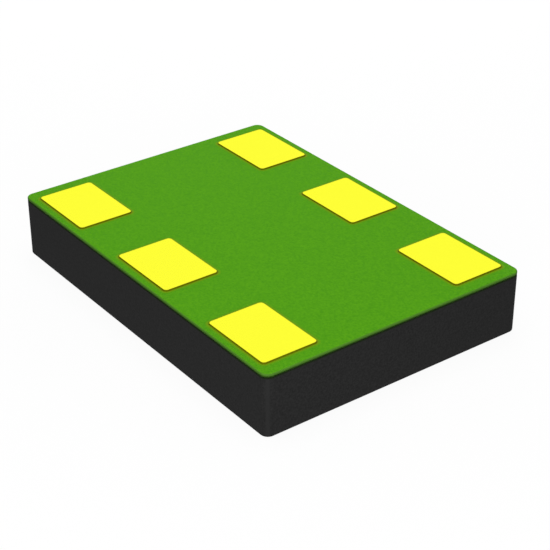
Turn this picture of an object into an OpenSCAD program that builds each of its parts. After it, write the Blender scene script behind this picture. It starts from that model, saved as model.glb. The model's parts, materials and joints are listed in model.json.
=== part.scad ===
// Crystal oscillator in a moulded six-pad package.
// Every piece is drawn as the part stands on a circuit board, pads down, with z = 0 at the pad faces.
// turned_over() then lays the whole part on its marking face, with the pads up.

/* [Package] */
// Length of the package, along X
package_length = 7.0; // [6.8:0.05:7.6]
// Width of the package, along Y
package_width = 5.0; // [4.8:0.05:5.6]
// Height from the pad faces to the marking face
package_height = 1.12; // [1.0:0.01:1.6]
// Radius of the four upright corners
corner_radius = 0.14; // [0.12:0.01:0.3]
// Radius of the edge round the marking face
marking_edge_radius = 0.03; // [0.02:0.01:0.11]
// Radius of the edges of the cap and of the board that meet at the seam between them
seam_edge_radius = 0.02; // [0.005:0.005:0.02]
// Diameter of the dimple that marks pad 1
dimple_diameter = 0.6; // [0.3:0.05:0.8]
// Depth of the dimple
dimple_depth = 0.03; // [0.01:0.005:0.08]
// Distance from the sides of the package to the rim of the dimple
dimple_inset = 0.35; // [0.2:0.05:0.6]

/* [Laminate] */
// Thickness of the board
laminate_thickness = 0.065; // [0.05:0.005:0.15]
// Radius of the board's outer edge, on the pad side
laminate_edge_radius = 0.025; // [0.01:0.005:0.04]
// Thickness of the copper on the inner face
copper_thickness = 0.018; // [0.01:0.001:0.035]
// Width of a copper track
track_width = 0.12; // [0.08:0.01:0.16]
// Length of the slanted piece that takes the corner off a track
track_bevel = 0.12; // [0.05:0.01:0.16]
// Distance between a track and a via land that it passes
track_clearance = 0.1; // [0.05:0.01:0.14]

/* [Solder pads] */
// Size of a pad along X
pad_length = 1.4; // [1.2:0.05:1.6]
// Size of a pad along Y
pad_width = 1.0; // [0.8:0.05:1.1]
// Distance from the end of the package to the pads; 0.26 gives the standard pitch of 2.54
pad_end_inset = 0.26; // [0.2:0.01:0.4]
// Distance from the long side of the package to the pads
pad_side_inset = 0.15; // [0.1:0.01:0.25]
// Height of a pad over the board
pad_height = 0.02; // [0.01:0.005:0.05]
// Corner radius of a pad
pad_corner_radius = 0.06; // [0.01:0.01:0.2]
// Diameter of the filled via behind a pad
via_diameter = 0.2; // [0.1:0.01:0.24]
// Distance from the long side of the package to the middle of a via
via_inset = 0.55; // [0.5:0.01:0.6]
// Width of the copper ring round a via
via_collar = 0.07; // [0.04:0.01:0.09]

/* [Crystal package] */
// Length of the ceramic base
crystal_length = 3.2; // [3.1:0.05:3.3]
// Width of the ceramic base
crystal_width = 2.5; // [2.4:0.05:2.6]
// Distance from the end of the moulded package to the ceramic base
crystal_end_gap = 0.3; // [0.2:0.05:0.4]
// Height of the ceramic base
base_height = 0.5; // [0.42:0.01:0.6]
// Thickness of the floor of the base
base_floor = 0.15; // [0.1:0.01:0.2]
// Thickness of the walls of the base
base_wall = 0.4; // [0.35:0.01:0.42]
// Radius of the corners of the cavity
cavity_corner_radius = 0.12; // [0.05:0.01:0.2]
// Radius of the notch in each upright corner of the base
corner_notch_radius = 0.12; // [0.05:0.01:0.15]
// Height of the ledges that carry the blank, over the floor
ledge_height = 0.1; // [0.05:0.01:0.15]
// Length of a ledge, from the end wall
ledge_length = 0.5; // [0.4:0.01:0.6]
// Width of a ledge
ledge_width = 0.5; // [0.36:0.01:0.6]
// Side of a square mounting pad on a ledge
mount_pad_size = 0.34; // [0.28:0.01:0.36]
// Thickness of a mounting pad
mount_pad_thickness = 0.01; // [0.005:0.001:0.02]
// Width of the seal ring's frame
seal_ring_width = 0.3; // [0.2:0.01:0.34]
// Height of the seal ring
seal_ring_height = 0.1; // [0.06:0.01:0.15]
// Thickness of the lid
lid_thickness = 0.08; // [0.05:0.01:0.12]
// Distance from the outside of the seal ring to the edge of the lid
lid_inset = 0.05; // [0.02:0.01:0.1]
// Length of a terminal under the base
terminal_length = 1.1; // [0.9:0.05:1.3]
// Width of a terminal under the base
terminal_width = 0.9; // [0.7:0.05:0.95]
// Thickness of a terminal
terminal_thickness = 0.015; // [0.01:0.001:0.03]
// Distance that a copper land reaches past what is soldered to it
land_margin = 0.05; // [0.02:0.01:0.08]
// Height of the solder joints
solder_height = 0.03; // [0.02:0.005:0.05]

/* [Quartz blank] */
// Thickness of the blank
blank_thickness = 0.06; // [0.03:0.005:0.1]
// Gap between the end wall of the cavity and the held end of the blank
blank_end_gap = 0.1; // [0.04:0.01:0.11]
// Gap between the free end of the blank and the end wall
blank_free_gap = 0.3; // [0.1:0.05:0.5]
// Gap between the blank and each side wall of the cavity
blank_side_gap = 0.175; // [0.1:0.005:0.25]
// Distance from the held end of the blank to the electrodes
electrode_held_margin = 0.6; // [0.5:0.05:0.8]
// Corner radius of an electrode
electrode_corner_radius = 0.2; // [0.05:0.01:0.3]
// Distance from the free end of the blank to the electrodes
electrode_free_margin = 0.35; // [0.2:0.05:0.5]
// Distance from the long sides of the blank to the electrodes
electrode_side_margin = 0.225; // [0.1:0.005:0.3]
// Width of the strip that leads from an electrode to the held end
electrode_tab_width = 0.28; // [0.1:0.01:0.3]
// Thickness of the electrode film
electrode_thickness = 0.006; // [0.005:0.001:0.01]
// Height of an adhesive dab
dab_height = 0.03; // [0.02:0.002:0.05]
// Diameter of an adhesive dab
dab_diameter = 0.26; // [0.15:0.01:0.27]
// Distance from the long sides of the blank to the middle of a dab
dab_side_inset = 0.25; // [0.2:0.01:0.32]

/* [Circuit die] */
// Length of the die, along X
die_length = 1.3; // [1.2:0.05:1.35]
// Width of the die, along Y
die_width = 1.3; // [1.25:0.05:1.4]
// Thickness of the die
die_thickness = 0.15; // [0.1:0.01:0.25]
// Distance from the ceramic base to the die
die_gap = 0.72; // [0.68:0.01:0.76]
// Thickness of the die attach
attach_thickness = 0.02; // [0.01:0.002:0.04]
// Distance that the die attach reaches past the die
attach_margin = 0.05; // [0.02:0.01:0.1]
// Distance that the copper paddle reaches past the die
paddle_margin = 0.14; // [0.1:0.01:0.16]

/* [Bond wires] */
// Diameter of a bond wire
wire_diameter = 0.025; // [0.018:0.001:0.035]
// Height of the control point of a wire's loop over the die
wire_loop_height = 0.22; // [0.18:0.01:0.3]
// Largest diameter of the ball on the die
ball_diameter = 0.064; // [0.05:0.002:0.08]
// Height of the ball
ball_height = 0.024; // [0.015:0.001:0.03]
// Distance from the edge of the die to the middle of a ball
ball_inset = 0.1; // [0.06:0.01:0.15]
// Distance from the edge of the die to the end of a wire
bond_reach = 0.45; // [0.42:0.01:0.48]
// Length of the flattened end of a wire
stitch_length = 0.05; // [0.03:0.005:0.08]
// Width of the flattened end of a wire
stitch_width = 0.045; // [0.035:0.001:0.06]
// Thickness of the flattened end of a wire
stitch_thickness = 0.008; // [0.006:0.001:0.012]
// Width of a bond finger
finger_width = 0.14; // [0.1:0.01:0.18]
// Distance that a bond finger reaches past the end of a wire, and back under it
finger_margin = 0.06; // [0.03:0.01:0.07]
// Distance from a corner of the die to the nearest wire, along the edge
wire_corner_inset = 0.2; // [0.15:0.01:0.3]

/* [Supply capacitor] */
// Length of the capacitor, along Y
capacitor_length = 1.0; // [0.9:0.05:1.1]
// Width of the capacitor, along X
capacitor_width = 0.5; // [0.45:0.01:0.52]
// Height of the capacitor
capacitor_height = 0.5; // [0.3:0.05:0.6]
// Distance from the die to the capacitor
capacitor_gap = 0.6; // [0.58:0.01:0.62]
// Length that each end terminal wraps round the body
capacitor_wrap = 0.25; // [0.15:0.01:0.3]
// Thickness of the end terminals
capacitor_terminal_thickness = 0.02; // [0.01:0.002:0.04]

/* [Hidden] */

$fn = 48;

// Colours, as seen or as the material has them
compound_colour = "#292929";
laminate_colour = "#549C1E";
gold_colour = "#FEFF36";
copper_colour = "#C77B43";
alumina_colour = "#E9E4DA";
alloy_colour = "#B8B4AA";
quartz_colour = "#DDE6EA";
silver_colour = "#D9D9D6";
adhesive_colour = "#A8A6A2";
solder_colour = "#C2C4C8";
silicon_colour = "#4B4F5C";
attach_colour = "#8C8C90";
capacitor_colour = "#B08A62";

// Levels of the layers, from the pad faces up
laminate_z = pad_height;
copper_z = laminate_z + laminate_thickness;
copper_top = copper_z + copper_thickness;
joint_top = copper_top + solder_height;
base_z = joint_top + terminal_thickness;
cavity_z = base_z + base_floor;
base_top = base_z + base_height;
lid_z = base_top + seal_ring_height;
mount_pad_z = cavity_z + ledge_height;
dab_z = mount_pad_z + mount_pad_thickness;
blank_z = dab_z + dab_height + electrode_thickness;
blank_top = blank_z + blank_thickness;
die_z = copper_top + attach_thickness;
die_top = die_z + die_thickness;

// Places in the plane of the board
pad_pitch = (package_length - pad_length) / 2 - pad_end_inset;
pad_row_spacing = package_width - pad_width - 2 * pad_side_inset;
via_land_diameter = via_diameter + 2 * via_collar;
crystal_x = -package_length / 2 + crystal_end_gap + crystal_length / 2;
die_x = crystal_x + crystal_length / 2 + die_gap + die_length / 2;
capacitor_x = die_x + die_length / 2 + capacitor_gap + capacitor_width / 2;
terminal_spacing = [crystal_length - terminal_length, crystal_width - terminal_width];
capacitor_joint_spacing = capacitor_length - capacitor_wrap;
cavity_length = crystal_length - 2 * base_wall;
cavity_width = crystal_width - 2 * base_wall;
blank_start = crystal_x - cavity_length / 2 + blank_end_gap;
blank_length = cavity_length - blank_end_gap - blank_free_gap;
blank_width = cavity_width - 2 * blank_side_gap;
ledge_x = crystal_x - cavity_length / 2 + ledge_length / 2;
ledge_spacing = blank_width - 2 * dab_side_inset;
electrode_length = blank_length - electrode_held_margin - electrode_free_margin;
electrode_width = blank_width - 2 * electrode_side_margin;
electrode_x = blank_start + electrode_held_margin + electrode_length / 2;

// The supply track runs between the vias and the board's edge, then down outside the via of pad 4
lane_offset = via_land_diameter / 2 + track_clearance + track_width / 2;
lane_y = package_width / 2 - via_inset + lane_offset;
lane_x = max(pad_pitch + lane_offset, capacitor_x);

// Sides of a swept bond wire, stretches along its loop, and the step that its direction is taken over
wire_sides = 8;
loop_steps = 9;
slope_step = 0.01;

// Cross-sections of the ball under a wire: height and width as parts of the whole
ball_profile = [[0, 0.8], [0.35, 1], [0.7, 0.85]];

// Middle of a pad, counted anticlockwise as seen from the marking face
function pad_place(number) =
    number <= 3 ? [(number - 2) * pad_pitch, -pad_row_spacing / 2]
                : [(5 - number) * pad_pitch, pad_row_spacing / 2];

// Middle of the via behind a pad
function via_place(number) =
    [pad_place(number).x, sign(pad_place(number).y) * (package_width / 2 - via_inset)];

// Middle of a terminal of the crystal package: side is -1 or 1 along X and along Y
function terminal_place(side_x, side_y) =
    [crystal_x + side_x * terminal_spacing.x / 2, side_y * terminal_spacing.y / 2];

// Where a wire leaves the die and where it ends, by the side of the die that it crosses
function above(shift) = [
    [die_x + shift, die_width / 2 - ball_inset],
    [die_x + shift, die_width / 2 + bond_reach]];
function below(shift) = [
    [die_x + shift, -die_width / 2 + ball_inset],
    [die_x + shift, -die_width / 2 - bond_reach]];
function left_of(shift) = [
    [die_x - die_length / 2 + ball_inset, shift],
    [die_x - die_length / 2 - bond_reach, shift]];
function right_of(shift) = [
    [die_x + die_length / 2 - ball_inset, shift],
    [die_x + die_length / 2 + bond_reach, shift]];

wire_shift_x = die_length / 2 - wire_corner_inset;
wire_shift_y = die_width / 2 - wire_corner_inset;
enable_wire = below(-wire_shift_x);
ground_wire = below(wire_shift_x);
output_wire = above(wire_shift_x);
inverted_output_wire = above(-wire_shift_x);
supply_wire = right_of(capacitor_joint_spacing / 2);
crystal_drive_wire = left_of(wire_shift_y);
crystal_sense_wire = left_of(0);
wires = [
    enable_wire, ground_wire, output_wire, inverted_output_wire,
    supply_wire, crystal_drive_wire, crystal_sense_wire,
];

function unit(v) = v / norm(v);
function left_normal(a, b) = let (d = unit(b - a)) [-d.y, d.x];

// Step from a point of a path to the side of a strip of half-width 1, mitred at the corners
function mitre(path, i) =
    let (
        last = len(path) - 1,
        before = left_normal(path[max(i - 1, 0)], path[max(i, 1)]),
        after = left_normal(path[min(i, last - 1)], path[min(i + 1, last)])
    )
    (before + after) / (1 + before * after);

// Point where the slant at a corner meets the stretch to the next point, at most halfway along it
function slant_end(corner, next) = corner + min(track_bevel, norm(next - corner) / 2) * unit(next - corner);

// The same path with each corner replaced by a short slanted stretch
function bevelled(path) = [
    path[0],
    for (i = [1:1:len(path) - 2]) each [
        slant_end(path[i], path[i - 1]),
        slant_end(path[i], path[i + 1])],
    path[len(path) - 1],
];

// Lays the part on its marking face
module turned_over() {
    translate([0, 0, package_height])
        rotate([180, 0, 0])
            children();
}

module rounded_rectangle(length, width, radius) {
    square([length - 2 * radius, width], center = true);
    square([length, width - 2 * radius], center = true);
    for (x = [-1, 1], y = [-1, 1])
        translate([x * (length / 2 - radius), y * (width / 2 - radius)])
            circle(r = radius);
}

module quarter_disc(radius) {
    intersection() {
        circle(r = radius);
        square(radius);
    }
}

// Upright section through a side of a block, from the corner centres outwards, both edges rounded
module side_section(reach, height, lower, upper) {
    square([reach - lower, height - upper]);
    translate([0, lower]) {
        square([reach, height - lower - upper]);
        square([reach - upper, height - lower]);
    }
    translate([reach - lower, lower])
        mirror([0, 1])
            quarter_disc(lower);
    translate([reach - upper, height - upper])
        quarter_disc(upper);
}

// Block with rounded upright corners and rounded lower and upper edges
module rounded_block(length, width, height, corner, lower, upper) {
    inner_length = length - 2 * corner;
    inner_width = width - 2 * corner;
    translate([-inner_length / 2, -inner_width / 2, 0])
        cube([inner_length, inner_width, height]);
    for (turn = [0, 180])
        rotate([0, 0, turn]) {
            translate([inner_length / 2, inner_width / 2, 0])
                rotate([90, 0, 0])
                    linear_extrude(inner_width)
                        side_section(corner, height, lower, upper);
            translate([-inner_length / 2, inner_width / 2, 0])
                rotate([90, 0, 90])
                    linear_extrude(inner_length)
                        side_section(corner, height, lower, upper);
            translate([inner_length / 2, inner_width / 2, 0])
                rotate_extrude(angle = 90)
                    side_section(corner, height, lower, upper);
            translate([inner_length / 2, -inner_width / 2, 0])
                rotate([0, 0, -90])
                    rotate_extrude(angle = 90)
                        side_section(corner, height, lower, upper);
        }
}

// Block as large as the package; outer_edge is the radius of the edge away from the seam
module package_block(height, outer_edge) {
    rounded_block(package_length, package_width, height, corner_radius, outer_edge, seam_edge_radius);
}

// Solder pad on the outer face of the board; has_via adds the post through the board
module solder_pad(number, has_via = true) {
    color(gold_colour) {
        translate(pad_place(number))
            linear_extrude(pad_height)
                rounded_rectangle(pad_length, pad_width, pad_corner_radius);
        if (has_via)
            translate(concat(via_place(number), laminate_z))
                cylinder(d = via_diameter, h = laminate_thickness);
    }
}

// Flat strip of copper along a path
module strip(path, width = track_width) {
    last = len(path) - 1;
    polygon(concat(
        [for (i = [0:last]) path[i] - width / 2 * mitre(path, i)],
        [for (i = [last:-1:0]) path[i] + width / 2 * mitre(path, i)]));
}

module via_land(number) {
    translate(via_place(number))
        circle(d = via_land_diameter);
}

module terminal_land(side_x, side_y) {
    translate(terminal_place(side_x, side_y))
        square([terminal_length + 2 * land_margin, terminal_width + 2 * land_margin], center = true);
}

module capacitor_land(side_y) {
    translate([capacitor_x, side_y * capacitor_joint_spacing / 2])
        square([capacitor_width + 2 * land_margin, capacitor_wrap + 2 * land_margin], center = true);
}

// Landing place for the end of a wire, in line with the wire
module bond_finger(wire) {
    direction = unit(wire[1] - wire[0]);
    strip([
        wire[1] - (stitch_length + finger_margin) * direction,
        wire[1] + finger_margin * direction], finger_width);
}

module copper() {
    color(copper_colour)
        translate([0, 0, copper_z])
            linear_extrude(copper_thickness)
                children();
}

module track_enable() {
    copper() {
        via_land(1);
        bond_finger(enable_wire);
        strip(bevelled([via_place(1), [enable_wire[1].x, via_place(1).y], enable_wire[1]]));
    }
}

module track_ground() {
    copper() {
        via_land(3);
        translate([die_x, 0])
            square([die_length + 2 * paddle_margin, die_width + 2 * paddle_margin], center = true);
        strip([[ground_wire[0].x, 0], ground_wire[1]], finger_width);
        bond_finger(ground_wire);
        strip(bevelled([ground_wire[1], [ground_wire[1].x, via_place(3).y], via_place(3)]));
        strip(bevelled([
            via_place(3),
            [capacitor_x, via_place(3).y],
            [capacitor_x, -capacitor_joint_spacing / 2],
        ]));
        capacitor_land(-1);
        terminal_land(1, -1);
        strip([[terminal_place(1, -1).x, -die_width / 2], [die_x, -die_width / 2]]);
    }
}

module track_output() {
    copper() {
        via_land(4);
        bond_finger(output_wire);
        strip(bevelled([via_place(4), [output_wire[1].x, via_place(4).y], output_wire[1]]));
    }
}

module track_inverted_output() {
    copper() {
        via_land(5);
        bond_finger(inverted_output_wire);
        strip(bevelled([
            via_place(5),
            [inverted_output_wire[1].x, via_place(5).y],
            inverted_output_wire[1],
        ]));
    }
}

// Runs along the board's edge, outside the two output vias, to the capacitor and the die
module track_supply() {
    copper() {
        via_land(6);
        strip(bevelled([
            via_place(6),
            [via_place(6).x, lane_y],
            [lane_x, lane_y],
            [lane_x, capacitor_joint_spacing / 2],
        ]));
        capacitor_land(1);
        bond_finger(supply_wire);
        strip([supply_wire[1], [lane_x, supply_wire[1].y]]);
    }
}

module track_crystal_drive() {
    copper() {
        terminal_land(1, 1);
        bond_finger(crystal_drive_wire);
        strip(bevelled([
            terminal_place(1, 1),
            [terminal_place(1, 1).x, crystal_drive_wire[1].y],
            crystal_drive_wire[1],
        ]));
    }
}

module track_crystal_sense() {
    copper() {
        terminal_land(-1, -1);
        bond_finger(crystal_sense_wire);
        strip(bevelled([
            terminal_place(-1, -1),
            [terminal_place(-1, -1).x, crystal_sense_wire[1].y],
            crystal_sense_wire[1],
        ]));
    }
}

// Carries the fourth corner of the crystal package, with no track of its own
module crystal_anchor_land() {
    copper()
        terminal_land(-1, 1);
}

module laminate() {
    color(laminate_colour)
        difference() {
            translate([0, 0, laminate_z])
                package_block(laminate_thickness, laminate_edge_radius);
            for (number = [1, 3, 4, 5, 6])
                translate(concat(via_place(number), -pad_height))
                    cylinder(d = via_diameter, h = copper_z + 2 * pad_height);
        }
}

// Rectangular layer that spreads by margin towards its foot
module spread_layer(length, width, height, margin) {
    corners = [[-1, -1], [1, -1], [1, 1], [-1, 1]];
    top = [length / 2, width / 2];
    foot = top + [margin, margin];
    polyhedron(
        points = [
            for (c = corners) [c.x * foot.x, c.y * foot.y, 0],
            for (c = corners) [c.x * top.x, c.y * top.y, height],
        ],
        faces = [
            [0, 1, 2, 3],
            [7, 6, 5, 4],
            for (i = [0:3])
                let (next = (i + 1) % 4)
                [next, i, i + 4, next + 4],
        ]);
}

// Solder under a rectangular terminal, spreading down to its land
module solder_joint(length, width) {
    translate([0, 0, copper_top])
        spread_layer(length, width, solder_height, land_margin);
}

module crystal_solder() {
    color(solder_colour)
        for (x = [-1, 1], y = [-1, 1])
            translate(terminal_place(x, y))
                solder_joint(terminal_length, terminal_width);
}

module crystal_terminals() {
    color(gold_colour)
        translate([0, 0, joint_top])
            linear_extrude(terminal_thickness)
                intersection() {
                    crystal_outline();
                    for (x = [-1, 1], y = [-1, 1])
                        translate(terminal_place(x, y))
                            square([terminal_length, terminal_width], center = true);
                }
}

// Outline of the ceramic base, with its notched corners
module crystal_outline() {
    translate([crystal_x, 0])
        difference() {
            square([crystal_length, crystal_width], center = true);
            for (x = [-1, 1], y = [-1, 1])
                translate([x * crystal_length / 2, y * crystal_width / 2])
                    circle(r = corner_notch_radius);
        }
}

module cavity_outline() {
    translate([crystal_x, 0])
        rounded_rectangle(cavity_length, cavity_width, cavity_corner_radius);
}

module crystal_base() {
    color(alumina_colour) {
        difference() {
            translate([0, 0, base_z])
                linear_extrude(base_height)
                    crystal_outline();
            translate([0, 0, cavity_z])
                linear_extrude(base_height)
                    cavity_outline();
        }
        for (side = [-1, 1])
            translate([
                crystal_x - cavity_length / 2 - base_wall / 2,
                side * ledge_spacing / 2 - ledge_width / 2,
                base_z])
                cube([base_wall / 2 + ledge_length, ledge_width, base_floor + ledge_height]);
    }
}

module at_ledges() {
    for (side = [-1, 1])
        translate([ledge_x, side * ledge_spacing / 2, 0])
            children();
}

module crystal_mount_pads() {
    color(gold_colour)
        at_ledges()
            translate([0, 0, mount_pad_z])
                linear_extrude(mount_pad_thickness)
                    square(mount_pad_size, center = true);
}

module ring_outline(inset = 0) {
    grow = seal_ring_width - inset;
    translate([crystal_x, 0])
        rounded_rectangle(cavity_length + 2 * grow, cavity_width + 2 * grow, cavity_corner_radius + grow);
}

module crystal_seal_ring() {
    color(alloy_colour)
        translate([0, 0, base_top])
            linear_extrude(seal_ring_height)
                difference() {
                    ring_outline();
                    cavity_outline();
                }
}

module crystal_lid() {
    color(alloy_colour)
        translate([0, 0, lid_z])
            linear_extrude(lid_thickness)
                ring_outline(lid_inset);
}

module quartz_blank() {
    color(quartz_colour)
        translate([blank_start, -blank_width / 2, blank_z])
            cube([blank_length, blank_width, blank_thickness]);
}

// Electrode with its strip, which begins at start; side picks the ledge that the strip leads to
module electrode_outline(side, start) {
    translate([electrode_x, 0])
        rounded_rectangle(electrode_length, electrode_width, electrode_corner_radius);
    translate([start, side * ledge_spacing / 2 - electrode_tab_width / 2])
        square([electrode_x - start, electrode_tab_width]);
}

// Covers the upper face, then folds round the held end to the adhesive under the blank
module electrode_top() {
    fold_x = blank_start - electrode_thickness;
    color(silver_colour) {
        translate([0, 0, blank_top])
            linear_extrude(electrode_thickness)
                electrode_outline(1, fold_x);
        translate([fold_x, (ledge_spacing - electrode_tab_width) / 2, blank_z - electrode_thickness]) {
            cube([electrode_thickness, electrode_tab_width, blank_thickness + 2 * electrode_thickness]);
            cube([ledge_x + dab_diameter / 2 - fold_x, electrode_tab_width, electrode_thickness]);
        }
    }
}

module electrode_bottom() {
    color(silver_colour)
        translate([0, 0, blank_z - electrode_thickness])
            linear_extrude(electrode_thickness)
                electrode_outline(-1, blank_start);
}

// Squashed dabs with a round rim
module adhesive_dabs() {
    rim = dab_height / 2;
    color(adhesive_colour)
        at_ledges()
            translate([0, 0, dab_z])
                rotate_extrude() {
                    square([dab_diameter / 2 - rim, dab_height]);
                    translate([dab_diameter / 2 - rim, rim])
                        intersection() {
                            circle(r = rim);
                            translate([0, -rim])
                                square([rim, dab_height]);
                        }
                }
}

module die_attach() {
    color(attach_colour)
        translate([die_x, 0, copper_top])
            spread_layer(die_length, die_width, attach_thickness, attach_margin);
}

module circuit_die() {
    color(silicon_colour)
        translate([die_x - die_length / 2, -die_width / 2, die_z])
            cube([die_length, die_width, die_thickness]);
}

// Point on the loop of a wire, as distance along the board and height
function loop_point(points, t) =
    pow(1 - t, 3) * points[0] + 3 * t * pow(1 - t, 2) * points[1]
    + 3 * t * t * (1 - t) * points[2] + pow(t, 3) * points[3];

// Cross-sections of a wire: distance, height, lean of the section, half-width, half-height
function wire_sections(span) =
    let (
        r = wire_diameter / 2,
        ball_r = ball_diameter / 2,
        start = [0, die_top + ball_height],
        finish = [span - stitch_length, copper_top + r],
        control = [
            start,
            [0, die_top + wire_loop_height],
            [finish.x - 2 * stitch_length, finish.y],
            finish]
    )
    concat(
        [for (step = ball_profile)
            [0, die_top + step[0] * ball_height, 90, step[1] * ball_r, step[1] * ball_r]],
        [for (i = [0:loop_steps])
            let (
                t = i / loop_steps,
                p = loop_point(control, t),
                ahead = loop_point(control, min(t + slope_step, 1)),
                back = loop_point(control, max(t - slope_step, 0)),
                lean = i == 0 ? 90 : i == loop_steps ? 0 : atan2(ahead.y - back.y, ahead.x - back.x)
            )
            [p.x, p.y, lean, r, r]],
        [[span, copper_top + stitch_thickness / 2, 0, stitch_width / 2, stitch_thickness / 2]]);

// Corner points of one cross-section; its flat sides lie at the half-width and half-height
function section_points(section) = [
    for (k = [0:wire_sides - 1])
        let (
            angle = (k + 0.5) * 360 / wire_sides,
            size = 1 / cos(180 / wire_sides),
            aside = section[3] * size * cos(angle),
            rise = section[4] * size * sin(angle)
        )
        [
            section[0] - rise * sin(section[2]),
            aside,
            section[1] + rise * cos(section[2]),
        ]];

module bond_wire(wire) {
    run = wire[1] - wire[0];
    sections = wire_sections(norm(run));
    rings = len(sections);
    translate(wire[0])
        rotate([0, 0, atan2(run.y, run.x)])
            polyhedron(
                points = [for (section = sections) each section_points(section)],
                faces = concat(
                    [[for (k = [0:wire_sides - 1]) k]],
                    [for (i = [0:rings - 2], k = [0:wire_sides - 1])
                        let (next = (k + 1) % wire_sides, low = i * wire_sides, high = low + wire_sides)
                        [low + next, low + k, high + k, high + next]],
                    [[for (k = [wire_sides - 1:-1:0]) (rings - 1) * wire_sides + k]]));
}

module bond_wires() {
    color(gold_colour)
        for (wire = wires)
            bond_wire(wire);
}

// The capacitor's block, smaller by inset on every side
module capacitor_block(inset = 0) {
    size = [capacitor_width, capacitor_length, capacitor_height];
    translate([capacitor_x, 0, joint_top + capacitor_height / 2])
        cube(size - 2 * inset * [1, 1, 1], center = true);
}

module capacitor_body() {
    color(capacitor_colour)
        capacitor_block(capacitor_terminal_thickness);
}

module capacitor_terminals() {
    color(silver_colour)
        difference() {
            capacitor_block();
            capacitor_block(capacitor_terminal_thickness);
            translate([capacitor_x, 0, joint_top + capacitor_height / 2])
                cube([
                    2 * capacitor_width,
                    capacitor_length - 2 * capacitor_wrap,
                    2 * capacitor_height], center = true);
        }
}

module capacitor_solder() {
    color(solder_colour)
        for (side = [-1, 1])
            translate([capacitor_x, side * capacitor_joint_spacing / 2, 0])
                solder_joint(capacitor_width, capacitor_wrap);
}

// The crystal package as the compound meets it, closed and with its cavity filled
module crystal_envelope() {
    translate([0, 0, base_z])
        linear_extrude(base_height)
            crystal_outline();
    translate([0, 0, base_top])
        linear_extrude(seal_ring_height)
            ring_outline();
    crystal_lid();
    crystal_terminals();
    crystal_solder();
}

module tracks() {
    track_enable();
    track_ground();
    track_output();
    track_inverted_output();
    track_supply();
    track_crystal_drive();
    track_crystal_sense();
    crystal_anchor_land();
}

// Cast round everything on the board, so it fits each piece with no gap
module mould_cap() {
    dimple_reach = dimple_inset + dimple_diameter / 2;
    color(compound_colour)
        difference() {
            translate([0, 0, package_height])
                mirror([0, 0, 1])
                    package_block(package_height - copper_z, marking_edge_radius);
            translate([
                dimple_reach - package_length / 2,
                dimple_reach - package_width / 2,
                package_height - dimple_depth])
                cylinder(d = dimple_diameter, h = 2 * dimple_depth);
            tracks();
            crystal_envelope();
            die_attach();
            circuit_die();
            bond_wires();
            capacitor_body();
            capacitor_terminals();
            capacitor_solder();
        }
}

turned_over() mould_cap();
turned_over() laminate();
turned_over() solder_pad(1);  // pad_1_enable
turned_over() solder_pad(2, has_via = false);  // pad_2_no_connection
turned_over() solder_pad(3);  // pad_3_ground
turned_over() solder_pad(4);  // pad_4_output
turned_over() solder_pad(5);  // pad_5_inverted_output
turned_over() solder_pad(6);  // pad_6_supply
turned_over() track_enable();
turned_over() track_ground();
turned_over() track_output();
turned_over() track_inverted_output();
turned_over() track_supply();
turned_over() track_crystal_drive();
turned_over() track_crystal_sense();
turned_over() crystal_anchor_land();
turned_over() crystal_base();
turned_over() crystal_mount_pads();
turned_over() crystal_seal_ring();
turned_over() crystal_lid();
turned_over() quartz_blank();
turned_over() electrode_top();
turned_over() electrode_bottom();
turned_over() adhesive_dabs();
turned_over() crystal_terminals();
turned_over() crystal_solder();
turned_over() circuit_die();
turned_over() die_attach();
turned_over() bond_wires();
turned_over() capacitor_body();
turned_over() capacitor_terminals();
turned_over() capacitor_solder();
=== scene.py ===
# Surface-mount crystal oscillator, lying on its marking face with the solder pads up
import json
import math

import bmesh
import bpy
from mathutils import Matrix, Quaternion, Vector


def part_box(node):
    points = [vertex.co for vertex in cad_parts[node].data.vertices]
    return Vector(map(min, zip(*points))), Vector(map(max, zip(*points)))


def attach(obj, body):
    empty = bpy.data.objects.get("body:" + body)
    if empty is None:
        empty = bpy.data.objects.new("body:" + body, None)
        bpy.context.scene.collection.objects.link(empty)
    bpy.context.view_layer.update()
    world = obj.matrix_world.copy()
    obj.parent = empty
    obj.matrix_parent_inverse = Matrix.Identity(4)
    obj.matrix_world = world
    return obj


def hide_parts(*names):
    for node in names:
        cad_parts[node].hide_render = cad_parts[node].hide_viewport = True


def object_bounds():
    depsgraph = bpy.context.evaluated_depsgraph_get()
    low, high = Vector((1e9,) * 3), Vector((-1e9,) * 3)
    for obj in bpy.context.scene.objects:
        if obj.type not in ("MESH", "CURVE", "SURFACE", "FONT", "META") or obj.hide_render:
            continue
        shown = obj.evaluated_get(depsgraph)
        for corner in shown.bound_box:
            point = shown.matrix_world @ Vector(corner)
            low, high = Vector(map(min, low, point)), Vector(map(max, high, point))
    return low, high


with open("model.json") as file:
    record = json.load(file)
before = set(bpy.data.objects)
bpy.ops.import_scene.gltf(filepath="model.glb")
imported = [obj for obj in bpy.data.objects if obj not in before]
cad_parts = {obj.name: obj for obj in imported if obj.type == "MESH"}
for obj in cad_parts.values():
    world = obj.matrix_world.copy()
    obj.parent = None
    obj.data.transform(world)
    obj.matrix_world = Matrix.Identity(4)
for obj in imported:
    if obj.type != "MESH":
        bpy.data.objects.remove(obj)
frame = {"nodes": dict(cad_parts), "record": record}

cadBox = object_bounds()
mm = 0.001
hair = 0.001  # slack in millimetres, for comparing heights
print("frame loaded:", len(frame["nodes"]), "nodes")


# sRGB hex to a linear colour
def fromHex(text):
    channels = [int(text[i:i + 2], 16) / 255 for i in (0, 2, 4)]
    linear = [c / 12.92 if c <= 0.04045 else ((c + 0.055) / 1.055) ** 2.4 for c in channels]
    return (*linear, 1.0)


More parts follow.
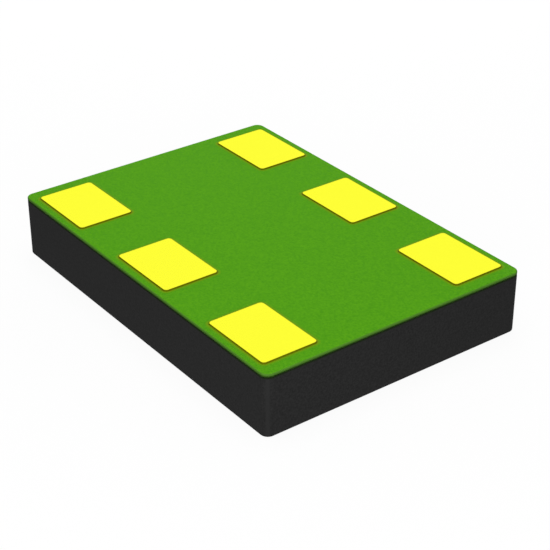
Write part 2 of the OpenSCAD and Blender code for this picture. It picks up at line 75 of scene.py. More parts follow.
# Adds a node; inputs takes a socket to link or a value to set, by name or number
def addNode(tree, kind, inputs=None, **settings):
    node = tree.nodes.new(kind)
    for name, value in settings.items():
        setattr(node, name, value)
    for key, value in (inputs or {}).items():
        if isinstance(value, bpy.types.NodeSocket):
            tree.links.new(value, node.inputs[key])
        else:
            node.inputs[key].default_value = value
    return node


# Camera at the angle of the photograph
viewpoint = {
    "azimuth": 53.375,
    "elevation": 29.987,
    "roll": -0.094,
    "distance": 24.099 * mm,
    "lens": 100.8,
    "aimX": 1.3165 * mm,
    "aimY": -0.707 * mm,
    "nearest": 1 * mm,
    "farthest": 1000 * mm,
}


def placeCamera():
    azimuth = math.radians(viewpoint["azimuth"])
    elevation = math.radians(viewpoint["elevation"])
    back = Vector((
        math.sin(azimuth) * math.cos(elevation),
        -math.cos(azimuth) * math.cos(elevation),
        math.sin(elevation)))
    aim = Vector((viewpoint["aimX"], viewpoint["aimY"], cadBox[1].z))
    camera = bpy.data.objects.new("camera", bpy.data.cameras.new("camera"))
    camera.data.lens = viewpoint["lens"]
    camera.data.clip_start = viewpoint["nearest"]
    camera.data.clip_end = viewpoint["farthest"]
    camera.location = aim + back * viewpoint["distance"]
    camera.rotation_mode = "QUATERNION"
    camera.rotation_quaternion = (
        Quaternion(back, math.radians(viewpoint["roll"])) @ back.to_track_quat("Z", "Y"))
    bpy.context.scene.collection.objects.link(camera)
    bpy.context.scene.camera = camera
    print("camera placed")


# White studio: an even surround, a broad lamp overhead and two low ones, facing the near corner and,
# weaker, the far one. The surround lights the part less than it shows; radiance is the brightness of
# a lamp's face
studio = {
    "surround": 0.42,
    "topRadiance": 2.85,
    "topSize": 60 * mm,
    "topHeight": 80 * mm,
    "frontRadiance": 6.7,
    "rearRadiance": 4.5,
    "lowSize": 14 * mm,
    "lowDistance": 28 * mm,
    "lowAzimuth": 54.0,
    "lowElevation": 12.0,
    "floorHalf": 150 * mm,
    "floorDrop": 0.001 * mm,
    "floorWhite": "4C4C4C",
    "floorLift": 0.922,
}


def lightSurround():
    world = bpy.data.worlds.new("whiteSurround")
    world.use_nodes = True
    tree = world.node_tree
    tree.nodes.clear()
    path = addNode(tree, "ShaderNodeLightPath")
    seen = addNode(tree, "ShaderNodeMath", {
        0: path.outputs["Is Camera Ray"],
        1: path.outputs["Is Glossy Ray"]}, operation="MAXIMUM")
    seen = addNode(tree, "ShaderNodeMath", {
        0: seen.outputs[0],
        1: path.outputs["Is Transmission Ray"]}, operation="MAXIMUM")
    strength = addNode(tree, "ShaderNodeMapRange", {
        "Value": seen.outputs[0],
        "To Min": studio["surround"],
        "To Max": 1.0})
    background = addNode(tree, "ShaderNodeBackground", {
        "Color": (1, 1, 1, 1),
        "Strength": strength.outputs[0]})
    addNode(tree, "ShaderNodeOutputWorld", {"Surface": background.outputs[0]})
    bpy.context.scene.world = world


# Square lamp that points at the part; its power follows from its size and brightness, and the gold
# mirrors the white surround instead of it
def addLamp(name, size, radiance, place):
    lamp = bpy.data.lights.new(name, "AREA")
    lamp.shape = "SQUARE"
    lamp.size = size
    lamp.energy = radiance * math.pi * size ** 2
    holder = bpy.data.objects.new(name, lamp)
    holder.location = place
    holder.rotation_mode = "QUATERNION"
    holder.rotation_quaternion = Vector(place).to_track_quat("Z", "Y")
    holder.visible_camera = False
    holder.visible_glossy = False
    bpy.context.scene.collection.objects.link(holder)


# Pale painted board; it shows white, keeps the part's shadow and is clear from below
def makeFloorPaint():
    material = bpy.data.materials.new("paintedBoard")
    material.use_nodes = True
    tree = material.node_tree
    tree.nodes.clear()
    path = addNode(tree, "ShaderNodeLightPath")
    seen = addNode(tree, "ShaderNodeMath", {
        0: path.outputs["Is Camera Ray"],
        1: path.outputs["Is Glossy Ray"]}, operation="MAXIMUM")
    lift = addNode(tree, "ShaderNodeMath", {
        0: seen.outputs[0],
        1: studio["floorLift"]}, operation="MULTIPLY")
    paint = addNode(tree, "ShaderNodeBsdfDiffuse", {"Color": fromHex(studio["floorWhite"])})
    glow = addNode(tree, "ShaderNodeEmission", {"Strength": lift.outputs[0]})
    both = addNode(tree, "ShaderNodeAddShader", {0: paint.outputs[0], 1: glow.outputs[0]})
    side = addNode(tree, "ShaderNodeNewGeometry")
    clear = addNode(tree, "ShaderNodeBsdfTransparent")
    surface = addNode(tree, "ShaderNodeMixShader", {
        0: side.outputs["Backfacing"],
        1: both.outputs[0],
        2: clear.outputs[0]})
    addNode(tree, "ShaderNodeOutputMaterial", {"Surface": surface.outputs[0]})
    return material


# The floor is open under the flat of the marking face, so that face is lit from below
def layFloor():
    capLow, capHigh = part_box("mould_cap")
    margin = 2 * capSizes["markingEdge"] * mm
    inner = [(capLow.x + margin, capLow.y + margin), (capHigh.x - margin, capHigh.y - margin)]
    half = studio["floorHalf"]
    z = capLow.z - studio["floorDrop"]
    outline = [(-half, -half), (half, -half), (half, half), (-half, half)]
    opening = [
        (inner[0][0], inner[0][1]), (inner[1][0], inner[0][1]),
        (inner[1][0], inner[1][1]), (inner[0][0], inner[1][1])]
    points = [(x, y, z) for x, y in outline + opening]
    faces = [(i, (i + 1) % 4, 4 + (i + 1) % 4, 4 + i) for i in range(4)]
    mesh = bpy.data.meshes.new("floor")
    mesh.from_pydata(points, [], faces)
    mesh.materials.append(makeFloorPaint())
    floor = bpy.data.objects.new("floor", mesh)
    bpy.context.scene.collection.objects.link(floor)


def setStudio():
    lightSurround()
    addLamp("overheadLamp", studio["topSize"], studio["topRadiance"], (0, 0, studio["topHeight"]))
    azimuth = math.radians(studio["lowAzimuth"])
    rise = math.radians(studio["lowElevation"])
    reach = studio["lowDistance"]
    forward = Vector((math.sin(azimuth), -math.cos(azimuth), 0)) * reach * math.cos(rise)
    upward = Vector((0, 0, reach * math.sin(rise)))
    addLamp("frontLamp", studio["lowSize"], studio["frontRadiance"], upward + forward)
    addLamp("rearLamp", studio["lowSize"], studio["rearRadiance"], upward - forward)
    layFloor()
    print("studio set")


# A new material, its Object coordinates and its shader, wired to the output
def startMaterial(name, **shaderInputs):
    material = bpy.data.materials.new(name)
    material.use_nodes = True
    tree = material.node_tree
    tree.nodes.clear()
    place = addNode(tree, "ShaderNodeTexCoord").outputs["Object"]
    shader = addNode(tree, "ShaderNodeBsdfPrincipled", shaderInputs)
    addNode(tree, "ShaderNodeOutputMaterial", {"Surface": shader.outputs[0]})
    return material, tree, place, shader


noiseSpan = (0.3, 0.7)  # where nearly all of the noise lies


# Two colours mixed by a fine noise, with matching roughness and relief; grain and depth in metres
def addGrain(tree, place, shader, finish):
    stretch = addNode(tree, "ShaderNodeMapping", {
        "Vector": place,
        "Scale": finish.get("stretch", (1, 1, 1))})
    noise = addNode(tree, "ShaderNodeTexNoise", {
        "Vector": stretch.outputs[0],
        "Scale": 1 / finish["grain"],
        "Detail": 3.0})
    level = addNode(tree, "ShaderNodeMapRange", {
        "Value": noise.outputs["Fac"],
        "From Min": noiseSpan[0],
        "From Max": noiseSpan[1]}).outputs[0]
    colour = addNode(tree, "ShaderNodeMix", {
        "Factor": level,
        "A": fromHex(finish["dark"]),
        "B": fromHex(finish["light"])}, data_type="RGBA")
    roughness = addNode(tree, "ShaderNodeMapRange", {
        "Value": level,
        "To Min": finish["roughness"][0],
        "To Max": finish["roughness"][1]})
    relief = addNode(tree, "ShaderNodeBump", {
        "Height": level,
        "Strength": 1.0,
        "Distance": finish["depth"]})
    tree.links.new(colour.outputs["Result"], shader.inputs["Base Color"])
    tree.links.new(roughness.outputs[0], shader.inputs["Roughness"])
    tree.links.new(relief.outputs[0], shader.inputs["Normal"])
    return colour, relief


# Colour that goes from one to the other while the value passes through span
def addBlend(tree, value, span, first, second):
    share = addNode(tree, "ShaderNodeMapRange", {
        "Value": value,
        "From Min": span[0],
        "From Max": span[1]})
    return addNode(tree, "ShaderNodeMix", {
        "Factor": share.outputs[0],
        "A": first,
        "B": second}, data_type="RGBA").outputs["Result"]


# Height over the seam between cap and board, in metres
def addSeamHeight(tree, place):
    height = addNode(tree, "ShaderNodeSeparateXYZ", {0: place}).outputs["Z"]
    return addNode(tree, "ShaderNodeMath", {
        0: height,
        1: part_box("laminate")[0].z}, operation="SUBTRACT").outputs[0]


# Sizes of the pieces are in millimetres; the meshes are built so and brought to metres when finished
capSizes = {
    "corner": 0.14,
    "markingEdge": 0.03,
    "seamEdge": 0.02,
    "dimpleDiameter": 0.6,
    "dimpleDepth": 0.03,
    "dimpleInset": 0.35,
    "cornerSteps": 12,
    "edgeSteps": 5,
    "dimpleSteps": 16,
    "overshoot": 0.1,  # how far a cutter reaches out of what it cuts
    "innerWall": 0.1,  # less than the cap's thinnest wall
    "innerFloor": 0.15,  # less than its floor
    "innerCorner": 0.05,
    "innerSteps": 2,
    "weld": 0.00002,
    "cornerHighlightFacing": (0.8, 0.6, 0),  # direction of the near upright corner, folded onto one quarter, where the painted highlight is strongest
    "cornerHighlightSpan": (0.955, 1.0),
    "stainSpan": (-0.03, -0.012),  # heights over the seam, where the painted shade lies
}


# Box of a node in millimetres
def boxOf(nodeName):
    return [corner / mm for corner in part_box(nodeName)]


# Points of a rectangle with round corners, anticlockwise from above
def outlinePoints(low, high, radius, z, steps):
    centres = [
        (high.x - radius, high.y - radius), (low.x + radius, high.y - radius),
        (low.x + radius, low.y + radius), (high.x - radius, low.y + radius)]
    points = []
    for quarter, (x, y) in enumerate(centres):
        for step in range(steps + 1):
            angle = math.pi / 2 * (quarter + step / steps)
            points.append((x + radius * math.cos(angle), y + radius * math.sin(angle), z))
    return points


# Closed block from outlines at rising heights; profile lists how far each is drawn in, and its height
def makeBlock(name, low, high, corner, profile, steps):
    shape = bmesh.new()
    rings = []
    for drawnIn, z in profile:
        inward = Vector((drawnIn, drawnIn, 0))
        points = outlinePoints(low + inward, high - inward, corner - drawnIn, z, steps)
        rings.append([shape.verts.new(point) for point in points])
    for below, above in zip(rings, rings[1:]):
        for i in range(len(below)):
            j = (i + 1) % len(below)
            shape.faces.new((below[i], below[j], above[j], above[i]))
    shape.faces.new(rings[0][::-1])
    shape.faces.new(rings[-1])
    mesh = bpy.data.meshes.new(name)
    shape.to_mesh(mesh)
    shape.free()
    piece = bpy.data.objects.new(name, mesh)
    bpy.context.scene.collection.objects.link(piece)
    return piece


# A round pin between two heights, to cut with; its corners fall just short of the half width, which
# keeps their end points apart
def makePin(name, middle, radius, lowZ, highZ, steps):
    half = Vector((radius, radius, 0))
    shortCorner = radius * 0.9999
    return makeBlock(name, middle - half, middle + half, shortCorner, [(0, lowZ), (0, highZ)], steps)


# Profile stretch of a rounded edge; lower edges run outwards, upper ones inwards
def roundedEdge(radius, flatZ, steps, upper):
    stretch = []
    for step in range(steps + 1):
        angle = math.pi / 2 * step / steps
        drawnIn = radius * (1 - math.sin(angle))
        rise = radius * (1 - math.cos(angle))
        stretch.append((drawnIn, flatZ - rise if upper else flatZ + rise))
    return stretch[::-1] if upper else stretch


# Turns the piece's modifiers into its plain mesh
def applyModifiers(piece):
    evaluated = piece.evaluated_get(bpy.context.evaluated_depsgraph_get())
    mesh = bpy.data.meshes.new_from_object(evaluated)
    piece.modifiers.clear()
    piece.data = mesh


# Takes the cutter's shape out of the piece
def cutAway(piece, cutter):
    modifier = piece.modifiers.new("cut", "BOOLEAN")
    modifier.operation = "DIFFERENCE"
    modifier.solver = "EXACT"
    modifier.object = cutter
    applyModifiers(piece)
    bpy.data.objects.remove(cutter)


squareFacing = 0.9999  # a face whose normal has a larger part than this lies square to an axis


# Brings the piece to metres, shades its round faces smooth and puts it in its node's place
def finishPiece(piece, nodeName, slotName, *materials):
    piece.data.transform(Matrix.Scale(mm, 4))
    for face in piece.data.polygons:
        face.use_smooth = max(abs(part) for part in face.normal) < squareFacing
    piece.data.materials.clear()
    for material in materials:
        piece.data.materials.append(material)
    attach(piece, "root")
    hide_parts(nodeName)


# Epoxy moulding compound, cast in a spark-eroded tool: an even matt grain, with a painted highlight a
# little lighter down the upright corners and painted shade, a little darker, next to the seam
def makeMouldingCompound():
    finish = {
        "light": "323232", "dark": "252525", "cornerHighlight": "303030", "seamShade": "1D2716",
        "roughness": (0.66, 0.8), "grain": 0.03 * mm, "depth": 0.0008 * mm}
    material, tree, place, shader = startMaterial("epoxyMouldingCompound", **{
        "Specular IOR Level": 0.04})
    colour = addGrain(tree, place, shader, finish)[0].outputs["Result"]
    # Painted highlight down the upright corners, strongest where the face points along the given
    # facing
    facing = addNode(tree, "ShaderNodeVectorMath", {
        0: addNode(tree, "ShaderNodeTexCoord").outputs["Normal"]}, operation="ABSOLUTE")
    slant = addNode(tree, "ShaderNodeVectorMath", {
        0: facing.outputs[0],
        1: capSizes["cornerHighlightFacing"]}, operation="DOT_PRODUCT").outputs["Value"]
    colour = addBlend(tree, slant, capSizes["cornerHighlightSpan"], colour, fromHex(finish["cornerHighlight"]))
    # Painted shade in the crease next to the seam
    stainSpan = [height * mm for height in capSizes["stainSpan"]]
    colour = addBlend(
        tree, addSeamHeight(tree, place), stainSpan, colour, fromHex(finish["seamShade"]))
    tree.links.new(colour, shader.inputs["Base Color"])
    return material


# What the cap is cast round, as one solid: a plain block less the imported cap
def makeInside(capLow, capHigh):
    wall = Vector((capSizes["innerWall"], capSizes["innerWall"], 0))
    profile = [(0, capLow.z + capSizes["innerFloor"]), (0, capHigh.z + capSizes["overshoot"])]
    inside = makeBlock(
        "inside", capLow + wall, capHigh - wall, capSizes["innerCorner"], profile,
        capSizes["innerSteps"])
    packed = bmesh.new()
    packed.from_mesh(frame["nodes"]["mould_cap"].data)
    bmesh.ops.scale(packed, vec=Vector((1, 1, 1)) / mm, verts=packed.verts)
    bmesh.ops.remove_doubles(packed, verts=packed.verts, dist=capSizes["weld"])
    mesh = bpy.data.meshes.new("packedCap")
    packed.to_mesh(mesh)
    packed.free()
    cutter = bpy.data.objects.new("packedCap", mesh)
    bpy.context.scene.collection.objects.link(cutter)
    cutAway(inside, cutter)
    return inside


def makeCap():
    low, high = boxOf("mould_cap")
    profile = (
        roundedEdge(capSizes["markingEdge"], low.z, capSizes["edgeSteps"], upper=False)
        + roundedEdge(capSizes["seamEdge"], high.z, capSizes["edgeSteps"], upper=True))
    cap = makeBlock("mouldCap", low, high, capSizes["corner"], profile, capSizes["cornerSteps"])
    radius = capSizes["dimpleDiameter"] / 2
    reach = capSizes["dimpleInset"] + radius
    cutAway(cap, makePin(
        "dimple", Vector((low.x + reach, high.y - reach, 0)), radius,
        low.z - capSizes["overshoot"], low.z + capSizes["dimpleDepth"], capSizes["dimpleSteps"]))
    cutAway(cap, makeInside(low, high))
    finishPiece(cap, "mould_cap", "moulding_compound", makeMouldingCompound())
    print("cap made:", len(cap.data.polygons), "faces")


boardSizes = {
    "corner": 0.14,
    "upperEdge": 0.025,
    "upperSteps": 6,
    "lowerEdge": 0.02,
    "lowerSteps": 4,
    "drillSteps": 8,
    "threadPitch": 0.3,
    "threadDepth": 0.0004,
    "footSpan": (0.008, 0.028),  # distances from a pad's rim of the olive mask-opening edge and painted shade
    "thinSpan": (0.03, 0.065),
    "stainSpan": (0.018, 0.034),  # heights over the seam, where the painted shade lies
    "rimSpan": (0.7, 1.0),  # how far the face points up; the painted shade of the rounded edge fades out over it
    "sawnBelow": 0.5,  # faces that point up or down by less show the sawn board
}


# Distance of a place on the board from the nearest pad's rim, in metres, found by folding the
# rows of pads onto one quarter of a pad
def addPadDistance(tree, place):
    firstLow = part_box("pad_1_enable")[0]
    secondLow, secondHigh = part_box("pad_2_no_connection")
    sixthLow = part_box("pad_6_supply")[0]
    corner = padSizes["corner"] * mm
    parts = addNode(tree, "ShaderNodeSeparateXYZ", {0: place})
    alongRow = addNode(tree, "ShaderNodeMath", {
        0: parts.outputs["X"],
        1: (secondLow.x - firstLow.x) / 2}, operation="PINGPONG")
    fromMiddle = addNode(tree, "ShaderNodeMath", {0: parts.outputs["Y"]}, operation="ABSOLUTE")
    fromRow = addNode(tree, "ShaderNodeMath", {
        0: fromMiddle.outputs[0],
        1: (firstLow.y - sixthLow.y) / 2}, operation="SUBTRACT")
    acrossRow = addNode(tree, "ShaderNodeMath", {0: fromRow.outputs[0]}, operation="ABSOLUTE")
    folded = addNode(tree, "ShaderNodeCombineXYZ", {
        "X": alongRow.outputs[0],
        "Y": acrossRow.outputs[0]})
    half = (secondHigh - secondLow) / 2
    outside = addNode(tree, "ShaderNodeVectorMath", {
        0: folded.outputs[0],
        1: (half.x - corner, half.y - corner, 0)}, operation="SUBTRACT")
    outside = addNode(tree, "ShaderNodeVectorMath", {
        0: outside.outputs[0],
        1: (0, 0, 0)}, operation="MAXIMUM")
    length = addNode(tree, "ShaderNodeVectorMath", {0: outside.outputs[0]}, operation="LENGTH")
    return addNode(tree, "ShaderNodeMath", {
        0: length.outputs["Value"],
        1: corner}, operation="SUBTRACT").outputs[0]


# Green solder mask, screened and cured on glass-epoxy board: satin, with the weave faintly showing
# through, olive at a pad's foot as its mask opening's edge and painted shade, yellower round it,
# and darker over the board's rounded upper edge with painted shade
def makeSolderMask():
    finish = {
        "light": "58A015", "dark": "46900D", "nearPadYellow": "6B9810", "foot": "6C8008", "rim": "4F8029",
        "roughness": (0.5, 0.62), "grain": 0.035 * mm, "depth": 0.0004 * mm}
    material, tree, place, shader = startMaterial("greenSolderMask", **{
        "Specular IOR Level": 0.03})
    colour, relief = addGrain(tree, place, shader, finish)
    # A wave texture of this scale has one band to each thread
    waveScale = math.pi / 10 / (boardSizes["threadPitch"] * mm)
    for direction in ("X", "Y"):
        threads = addNode(tree, "ShaderNodeTexWave", {
            "Vector": place,
            "Scale": waveScale}, bands_direction=direction)
        relief = addNode(tree, "ShaderNodeBump", {
            "Height": threads.outputs["Fac"],
            "Strength": 1.0,
            "Distance": boardSizes["threadDepth"] * mm,
            "Normal": relief.outputs[0]})
    tree.links.new(relief.outputs[0], shader.inputs["Normal"])
    distance = addPadDistance(tree, place)
    thinSpan = [limit * mm for limit in boardSizes["thinSpan"]]
    footSpan = [limit * mm for limit in boardSizes["footSpan"]]
    colour = colour.outputs["Result"]
    # Yellower within a short distance of a pad's rim
    colour = addBlend(tree, distance, thinSpan, fromHex(finish["nearPadYellow"]), colour)
    # Olive at a pad's foot: the mask opening's edge, and painted shade where pad and board meet
    colour = addBlend(tree, distance, footSpan, fromHex(finish["foot"]), colour)
    # Painted shade over the board's rounded upper edge, darker as the face turns away from up
    rise = addNode(tree, "ShaderNodeSeparateXYZ", {
        0: addNode(tree, "ShaderNodeTexCoord").outputs["Normal"]}).outputs["Z"]
    colour = addBlend(tree, rise, boardSizes["rimSpan"], fromHex(finish["rim"]), colour)
    tree.links.new(colour, shader.inputs["Base Color"])
    return material


# Edge of the same board, sawn: duller and more ragged than its face, with painted shade at the seam
def makeSawnBoard():
    finish = {
        "light": "56872F", "dark": "4A7828", "seamShade": "1E340E",
        "roughness": (0.7, 0.9), "grain": 0.025 * mm, "depth": 0.0012 * mm,
        "stretch": (1, 1, 2.5)}
    material, tree, place, shader = startMaterial("sawnGlassEpoxy", **{
        "Specular IOR Level": 0.04})
    colour = addGrain(tree, place, shader, finish)[0].outputs["Result"]
    # Painted shade in the crease next to the seam
    stainSpan = [height * mm for height in boardSizes["stainSpan"]]
    colour = addBlend(
        tree, addSeamHeight(tree, place), stainSpan, fromHex(finish["seamShade"]), colour)
    tree.links.new(colour, shader.inputs["Base Color"])
    return material


# Middle and radius of the via post under a pad, in millimetres, from the lowest ring of its node
def viaOf(nodeName):
    points = [vertex.co / mm for vertex in frame["nodes"][nodeName].data.vertices]
    lowest = min(point.z for point in points)
    ring = [Vector((point.x, point.y, 0)) for point in points if point.z < lowest + hair]
    middle = sum(ring, Vector()) / len(ring)
    return middle, max((point - middle).length for point in ring)


padNodes = [
    "pad_1_enable", "pad_2_no_connection", "pad_3_ground",
    "pad_4_output", "pad_5_inverted_output", "pad_6_supply"]


def hasVia(nodeName):
    return boxOf(nodeName)[0].z < boxOf("laminate")[1].z - hair


# Faces of a piece that point up or down by less than a limit get its second material
def dressFlanks(piece, limit):
    for face in piece.data.polygons:
        face.material_index = int(abs(face.normal.z) < limit)


def makeBoard():
    low, high = boxOf("laminate")
    profile = (
        roundedEdge(boardSizes["lowerEdge"], low.z, boardSizes["lowerSteps"], upper=False)
        + roundedEdge(boardSizes["upperEdge"], high.z, boardSizes["upperSteps"], upper=True))
    board = makeBlock("greenBoard", low, high, boardSizes["corner"], profile, capSizes["cornerSteps"])
    bottom = low.z - capSizes["overshoot"]
    top = high.z + capSizes["overshoot"]
    for nodeName in filter(hasVia, padNodes):
        middle, radius = viaOf(nodeName)
        cutAway(board, makePin("drill", middle, radius, bottom, top, boardSizes["drillSteps"]))
    finishPiece(board, "laminate", "green_laminate", makeSolderMask(), makeSawnBoard())
    dressFlanks(board, boardSizes["sawnBelow"])
    print("board made:", len(board.data.polygons), "faces")


padSizes = {
    "corner": 0.06,
    "cornerSteps": 6,
    "edgeInset": 0.005,  # the broken upper edge
    "edgeDrop": 0.002,
    "flankBelow": 0.99,
    "postSides": 32,
    "postOverlap": 0.5,  # part of the pad's height
    "weld": 0.0001,
}


# Gold plating on copper, deposited in a bath: fine even nodules, satin, strongly yellow; the tint
# keeps that yellow in flat light too
def makeGoldPlating():
    finish = {
        "light": "FFFF38", "dark": "FDFD36", "tint": "FFFFC3",
        "roughness": (0.2, 0.28), "grain": 0.02 * mm, "depth": 0.00005 * mm}
    material, tree, place, shader = startMaterial("goldPlating", **{
        "Metallic": 1.0,
        "Specular Tint": fromHex(finish["tint"])})
    addGrain(tree, place, shader, finish)
    return material


# Flank of a pad, gold-plated like its top: painted shade, a dull olive in place of the gold
def makeEtchedFlank():
    finish = {
        "light": "717303", "dark": "656701",
        "roughness": (0.6, 0.75), "grain": 0.015 * mm, "depth": 0.0005 * mm}
    material, tree, place, shader = startMaterial("etchedPadFlank", **{
        "Specular IOR Level": 0.04})
    addGrain(tree, place, shader, finish)
    return material


# Geometry Nodes tree for a pad, in millimetres: a plate with round corners and a broken upper edge,
# with or without its post
def growPadTree():
    tree = bpy.data.node_groups.new("solderPad", "GeometryNodeTree")
    sockets = {
        "Length": "NodeSocketFloat", "Width": "NodeSocketFloat", "Height": "NodeSocketFloat",
        "Corner": "NodeSocketFloat", "Edge Inset": "NodeSocketFloat",
        "Edge Drop": "NodeSocketFloat", "Seat": "NodeSocketVector",
        "Has Post": "NodeSocketBool", "Post Place": "NodeSocketVector",
        "Post Radius": "NodeSocketFloat", "Post Depth": "NodeSocketFloat",
        "Plating": "NodeSocketMaterial"}
    for name, kind in sockets.items():
        tree.interface.new_socket(name, in_out="INPUT", socket_type=kind)
    tree.interface.new_socket("Geometry", in_out="OUTPUT", socket_type="NodeSocketGeometry")
    given = addNode(tree, "NodeGroupInput").outputs
    rectangle = addNode(tree, "GeometryNodeCurvePrimitiveQuadrilateral", {
        "Width": given["Length"], "Height": given["Width"]})
    rounded = addNode(tree, "GeometryNodeFilletCurve", {
        "Curve": rectangle.outputs[0], "Count": padSizes["cornerSteps"],
        "Radius": given["Corner"]}, mode="POLY")
    foot = addNode(tree, "GeometryNodeFillCurve", {"Curve": rounded.outputs[0]}, mode="NGONS")
    wallHeight = addNode(tree, "ShaderNodeMath", {
        0: given["Height"], 1: given["Edge Drop"]}, operation="SUBTRACT")
    wall = addNode(tree, "GeometryNodeExtrudeMesh", {
        "Mesh": foot.outputs[0], "Offset Scale": wallHeight.outputs[0]}, mode="FACES")
    edge = addNode(tree, "GeometryNodeExtrudeMesh", {
        "Mesh": wall.outputs["Mesh"], "Selection": wall.outputs["Top"],
        "Offset Scale": given["Edge Drop"]}, mode="FACES")
    # The top face is scaled about its middle, by the inset at its long sides
    shrink = addNode(tree, "ShaderNodeMath", {
        0: given["Edge Inset"], 1: given["Width"]}, operation="DIVIDE")
    shrink = addNode(tree, "ShaderNodeMath", {
        0: shrink.outputs[0], 1: -2.0, 2: 1.0}, operation="MULTIPLY_ADD")
    drawnIn = addNode(tree, "GeometryNodeScaleElements", {
        "Geometry": edge.outputs["Mesh"], "Selection": edge.outputs["Top"],
        "Scale": shrink.outputs[0]}, domain="FACE")
    underside = addNode(tree, "GeometryNodeFlipFaces", {"Mesh": foot.outputs[0]})
    plate = addNode(tree, "GeometryNodeJoinGeometry")
    tree.links.new(drawnIn.outputs[0], plate.inputs[0])
    tree.links.new(underside.outputs[0], plate.inputs[0])
    welded = addNode(tree, "GeometryNodeMergeByDistance", {
        "Geometry": plate.outputs[0], "Distance": padSizes["weld"]})
    seated = addNode(tree, "GeometryNodeTransform", {
        "Geometry": welded.outputs[0], "Translation": given["Seat"]})
    # The post reaches into the plate, so that the two unite
    overlap = addNode(tree, "ShaderNodeMath", {
        0: given["Height"], 1: padSizes["postOverlap"]}, operation="MULTIPLY")
    postLength = addNode(tree, "ShaderNodeMath", {
        0: given["Post Depth"], 1: overlap.outputs[0]}, operation="ADD")
    post = addNode(tree, "GeometryNodeMeshCylinder", {
        "Vertices": padSizes["postSides"], "Radius": given["Post Radius"],
        "Depth": postLength.outputs[0]}, fill_type="NGON")
    halfDifference = addNode(tree, "ShaderNodeMath", {
        0: overlap.outputs[0], 1: given["Post Depth"]}, operation="SUBTRACT")
    halfDifference = addNode(tree, "ShaderNodeMath", {
        0: halfDifference.outputs[0], 1: 0.5}, operation="MULTIPLY")
    lift = addNode(tree, "ShaderNodeCombineXYZ", {"Z": halfDifference.outputs[0]})
    postPlace = addNode(tree, "ShaderNodeVectorMath", {
        0: given["Post Place"], 1: lift.outputs[0]}, operation="ADD")
    standing = addNode(tree, "GeometryNodeTransform", {
        "Geometry": post.outputs["Mesh"], "Translation": postPlace.outputs[0]})
    united = addNode(tree, "GeometryNodeMeshBoolean", operation="UNION", solver="EXACT")
    tree.links.new(seated.outputs[0], united.inputs["Mesh 2"])
    tree.links.new(standing.outputs[0], united.inputs["Mesh 2"])
    chosen = addNode(tree, "GeometryNodeSwitch", {
        "Switch": given["Has Post"], "False": seated.outputs[0],
        "True": united.outputs["Mesh"]}, input_type="GEOMETRY")
    real = addNode(tree, "GeometryNodeRealizeInstances", {"Geometry": chosen.outputs[0]})
    plated = addNode(tree, "GeometryNodeSetMaterial", {
        "Geometry": real.outputs[0], "Material": given["Plating"]})
    addNode(tree, "NodeGroupOutput", {"Geometry": plated.outputs[0]})
    return tree


def makePad(tree, number, nodeName, plating, flank):
    low, high = boxOf(nodeName)
    boardTop = boxOf("laminate")[1].z
    middle = (low + high) / 2
    values = {
        "Length": high.x - low.x, "Width": high.y - low.y, "Height": high.z - boardTop,
        "Corner": padSizes["corner"], "Edge Inset": padSizes["edgeInset"],
        "Edge Drop": padSizes["edgeDrop"], "Seat": (middle.x, middle.y, boardTop),
        "Has Post": hasVia(nodeName), "Plating": plating}
    if hasVia(nodeName):
        viaMiddle, viaRadius = viaOf(nodeName)
        values["Post Place"] = (viaMiddle.x, viaMiddle.y, boardTop)
        values["Post Radius"] = viaRadius
        values["Post Depth"] = boardTop - low.z
    pad = bpy.data.objects.new(f"solderPad{number}", bpy.data.meshes.new(f"solderPad{number}"))
    bpy.context.scene.collection.objects.link(pad)
    modifier = pad.modifiers.new("pad", "NODES")
    modifier.node_group = tree
    for item in tree.interface.items_tree:
        if item.in_out == "INPUT" and item.name in values:
            modifier[item.identifier] = values[item.name]
    applyModifiers(pad)
    finishPiece(pad, nodeName, "pad_plating", plating, flank)
    dressFlanks(pad, padSizes["flankBelow"])


def makePads():
    tree = growPadTree()
    plating = makeGoldPlating()
    # The pad flanks get a dull olive as painted shade
    flank = makeEtchedFlank()
    for number, nodeName in enumerate(padNodes, 1):
        makePad(tree, number, nodeName, plating, flank)
    print("pads made:", len(padNodes))


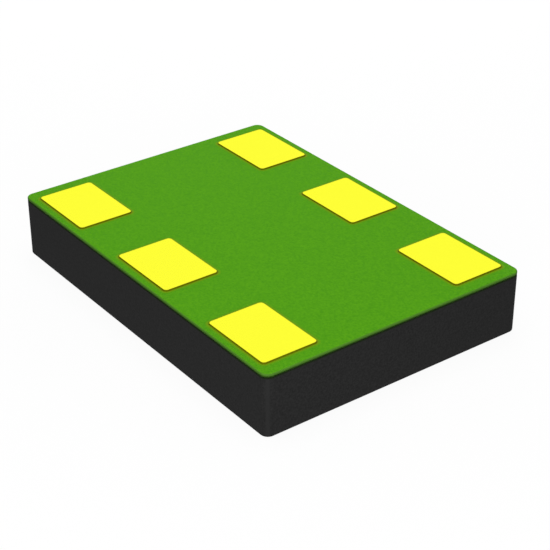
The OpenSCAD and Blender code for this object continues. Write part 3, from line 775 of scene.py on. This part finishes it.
# Finishes of the pieces inside, by the slot that each has in the record
innerFinishes = {
    # Copper foil, rolled and etched: warm and satin, with a fine pickled grain
    "copper_foil": {
        "name": "etchedCopperFoil", "light": "CC8149", "dark": "B86F3A", "metallic": 1.0,
        "roughness": (0.32, 0.48), "grain": 0.02 * mm, "depth": 0.0004 * mm},
    # Alumina, pressed and fired: off-white and unglazed
    "alumina": {
        "name": "firedAlumina", "light": "EFEAE0", "dark": "E2DCD0", "metallic": 0.0,
        "roughness": (0.55, 0.7), "grain": 0.015 * mm, "depth": 0.0008 * mm},
    # Iron-nickel sheet, rolled and stamped: lengthwise roll marks
    "iron_nickel_alloy": {
        "name": "rolledIronNickel", "light": "C2BEB4", "dark": "ACA89E", "metallic": 1.0,
        "roughness": (0.28, 0.42), "grain": 0.02 * mm, "depth": 0.0003 * mm,
        "stretch": (0.08, 1, 1)},
    # Quartz, sawn and lapped: clear under a slight frost
    "quartz": {
        "name": "lappedQuartz", "light": "EAF1F2", "dark": "DFE8EA", "metallic": 0.0,
        "roughness": (0.18, 0.3), "grain": 0.01 * mm, "depth": 0.0001 * mm,
        "extra": {"Transmission Weight": 0.85, "IOR": 1.54}},
    # Silver, evaporated on the lapped blank: bright with a soft frost from what is under it
    "electrode_silver": {
        "name": "evaporatedSilver", "light": "E3E2DF", "dark": "D6D5D2", "metallic": 1.0,
        "roughness": (0.2, 0.3), "grain": 0.01 * mm, "depth": 0.0001 * mm},
    # Silicone with silver flakes, cured: grey and dull, with coarse flakes
    "silver_adhesive": {
        "name": "curedSilverAdhesive", "light": "B4B2AE", "dark": "9C9A96", "metallic": 0.4,
        "roughness": (0.5, 0.75), "grain": 0.012 * mm, "depth": 0.0008 * mm},
    # Gold, plated over printed metal: softer than the pads
    "gold_metallisation": {
        "name": "platedGoldMetallisation", "light": "EBC063", "dark": "DDB055", "metallic": 1.0,
        "roughness": (0.35, 0.5), "grain": 0.015 * mm, "depth": 0.0005 * mm},
    # Solder, reflowed: bright, with slow ripples
    "solder": {
        "name": "reflowedSolder", "light": "CACCD0", "dark": "B8BABE", "metallic": 1.0,
        "roughness": (0.2, 0.32), "grain": 0.09 * mm, "depth": 0.001 * mm},
    # Silicon, polished and diced: dark blue-grey, with blocks of circuit
    "silicon": {
        "name": "polishedSilicon", "light": "565C70", "dark": "484D60", "metallic": 0.3,
        "roughness": (0.12, 0.2), "grain": 0.05 * mm, "depth": 0.0001 * mm},
    # Epoxy with silver filler, dispensed and cured: dull grey
    "die_epoxy": {
        "name": "curedDieEpoxy", "light": "96969A", "dark": "828286", "metallic": 0.2,
        "roughness": (0.55, 0.7), "grain": 0.015 * mm, "depth": 0.0008 * mm},
    # Gold wire, drawn: bright, with faint die lines
    "gold_wire": {
        "name": "drawnGoldWire", "light": "F6CC66", "dark": "EBBE58", "metallic": 1.0,
        "roughness": (0.15, 0.24), "grain": 0.01 * mm, "depth": 0.0001 * mm},
    # Barium titanate layers, fired: warm brown and matt
    "capacitor_ceramic": {
        "name": "firedCapacitorCeramic", "light": "BA946C", "dark": "A88058", "metallic": 0.0,
        "roughness": (0.5, 0.65), "grain": 0.015 * mm, "depth": 0.0006 * mm},
    # Tin, plated over fired terminals: pale and satin
    "tinned_terminals": {
        "name": "platedTin", "light": "D4D4D2", "dark": "C6C6C4", "metallic": 1.0,
        "roughness": (0.35, 0.5), "grain": 0.02 * mm, "depth": 0.0006 * mm},
}


def makeInnerMaterial(finish):
    material, tree, place, shader = startMaterial(
        finish["name"], Metallic=finish["metallic"], **finish.get("extra", {}))
    addGrain(tree, place, shader, finish)
    return material


def dressInnerPieces():
    materials = {slot: makeInnerMaterial(finish) for slot, finish in innerFinishes.items()}
    dressed = 0
    for row in frame["record"]["subparts"]:
        if row["material_slot"] in materials:
            mesh = frame["nodes"][row["node"]].data
            mesh.materials.clear()
            mesh.materials.append(materials[row["material_slot"]])
            dressed += 1
    print("inner pieces dressed:", dressed)


bpy.context.scene.view_settings.view_transform = "Standard"
placeCamera()
setStudio()
makeCap()
makeBoard()
makePads()
dressInnerPieces()
